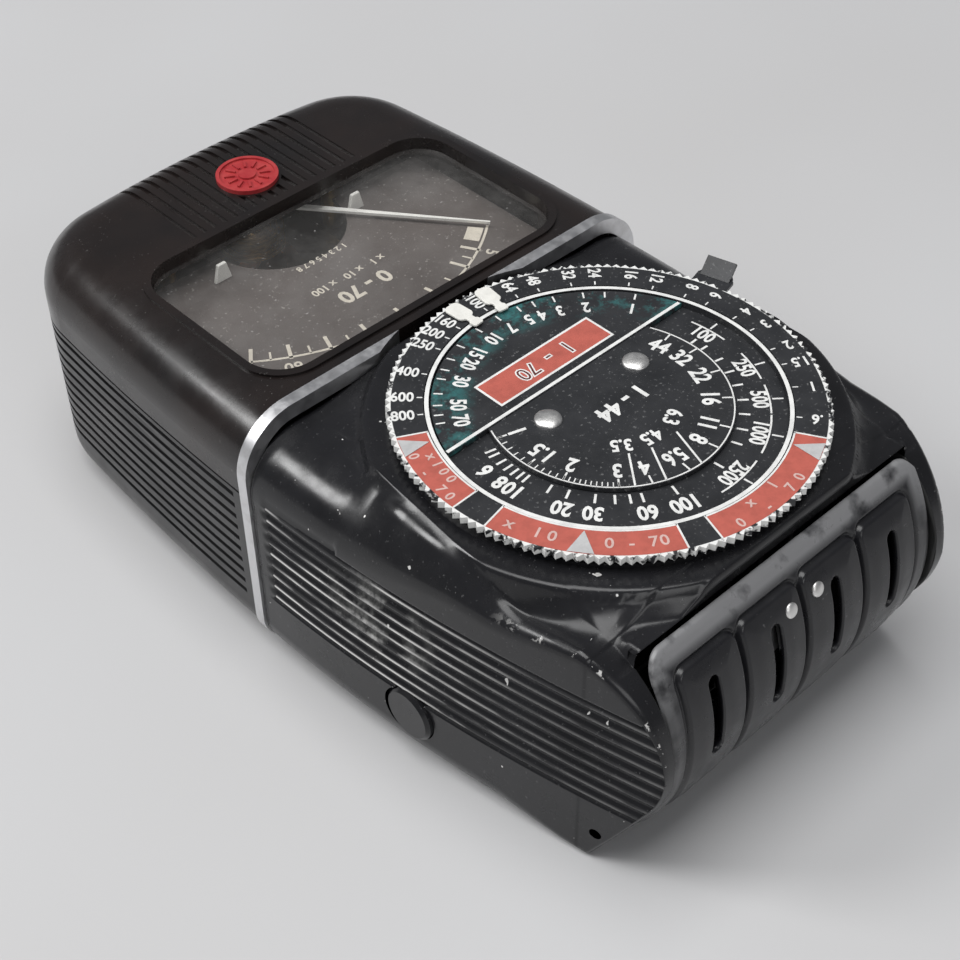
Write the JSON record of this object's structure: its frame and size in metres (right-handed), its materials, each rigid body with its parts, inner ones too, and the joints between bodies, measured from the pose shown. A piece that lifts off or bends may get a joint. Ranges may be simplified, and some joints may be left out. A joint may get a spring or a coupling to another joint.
{
  "type": "selenium exposure meter",
  "caption": "Hand-held photographic exposure meter: moulded body with needle window, pull-off metal hood with calculator dial and slotted hinged cover over a selenium cell.",
  "frame": {"origin": "centre of the flat back, below the middle of the overall outline", "axes": "+X across, to the right with the meter end away; +Y towards the meter end; +Z out of the flat back, towards the dial"},
  "size_m": [0.061, 0.1045, 0.036],
  "materials": {
    "bakelite": "satin moulded",
    "bakelite_dark": "satin moulded",
    "clear_glass": "polished",
    "red_enamel": "gloss",
    "scale_print": "matt with pale print",
    "brass": "plain",
    "white_paint": "satin",
    "steel": "plain",
    "inner_plastic": "matt",
    "selenium": "dull metallic",
    "wire_sleeve": "matt",
    "magnet_iron": "dark",
    "copper": "enamelled wire",
    "black_enamel": "gloss, chipped at edges",
    "bright_trim": "polished",
    "dial_black": "satin with printed figures",
    "cover_black": "matt"
  },
  "bodies": {
    "meter_body": {"upper_case": "bakelite", "lower_case": "bakelite_dark", "window_glass": "clear_glass", "badge": "red_enamel", "scale_plate": "scale_print", "plate_pillars": "brass", "pointer_stops": "white_paint", "case_screws": "steel", "cell_housing": "inner_plastic", "cell_window": "clear_glass", "cell_ring": "brass", "selenium_cell": "selenium", "cell_spring": "brass", "cell_back": "inner_plastic", "terminals": "brass", "lead_wires": "wire_sleeve", "latch_spring": "steel", "movement_base": "brass", "magnet": "magnet_iron", "pole_pieces": "steel", "iron_core": "steel", "core_bracket": "brass", "upper_bridge": "brass", "bridge_posts": "brass", "jewel_screws": "brass", "movement_screws": "steel", "hairsprings": "brass"},
    "needle": {"pointer": "white_paint", "moving_coil": "copper", "pivot_shaft": "steel"},
    "zero_adjuster": {"zero_screw": "brass"},
    "hood": {"hood_shell": "black_enamel", "hood_trim": "bright_trim", "light_baffle": "inner_plastic", "hinge_pin": "steel", "button_spring": "steel", "dial_base": "black_enamel", "dial_hub": "steel", "light_value_plate": "dial_black", "fstop_plate": "dial_black", "dial_rivets": "bright_trim", "index_clips": "white_paint"},
    "hood_button": {"release_button": "black_enamel"},
    "shutter_dial": {"shutter_disc": "dial_black"},
    "film_speed_dial": {"film_speed_ring": "dial_black"},
    "cover": {"cover_panel": "cover_black", "cover_rivets": "brass", "cover_catch": "steel"}
  },
  "joints": [
    {"name": "pointer_swing", "type": "hinge", "parent": "meter_body", "child": "needle", "pos_m": [0, 0.03975, 0.015], "axis": [0, 0, 1], "range_deg": [-76, 0], "stiffness_Nm_per_rad": 0.00002},
    {"name": "zero_turn", "type": "hinge", "parent": "meter_body", "child": "zero_adjuster", "pos_m": [0, 0.03975, 0.001], "axis": [0, 0, 1], "range_deg": [-30, 30]},
    {"name": "hood_pull_off", "type": "slide", "parent": "meter_body", "child": "hood", "axis": [0, -1, 0], "range_m": [0, 0.03]},
    {"name": "button_press", "type": "slide", "parent": "hood", "child": "hood_button", "axis": [1, 0, 0], "range_m": [0, 0.0007], "stiffness_N_per_m": 800},
    {"name": "shutter_turn", "type": "hinge", "parent": "hood", "child": "shutter_dial", "pos_m": [0, -0.02245, 0.0343], "axis": [0, 0, 1], "continuous": true},
    {"name": "film_speed_turn", "type": "hinge", "parent": "hood", "child": "film_speed_dial", "pos_m": [0, -0.02245, 0.035], "axis": [0, 0, 1], "continuous": true},
    {"name": "cover_open", "type": "hinge", "parent": "hood", "child": "cover", "pos_m": [0, -0.04535, 0.0048], "axis": [1, 0, 0], "range_deg": [0, 80]}
  ]
}
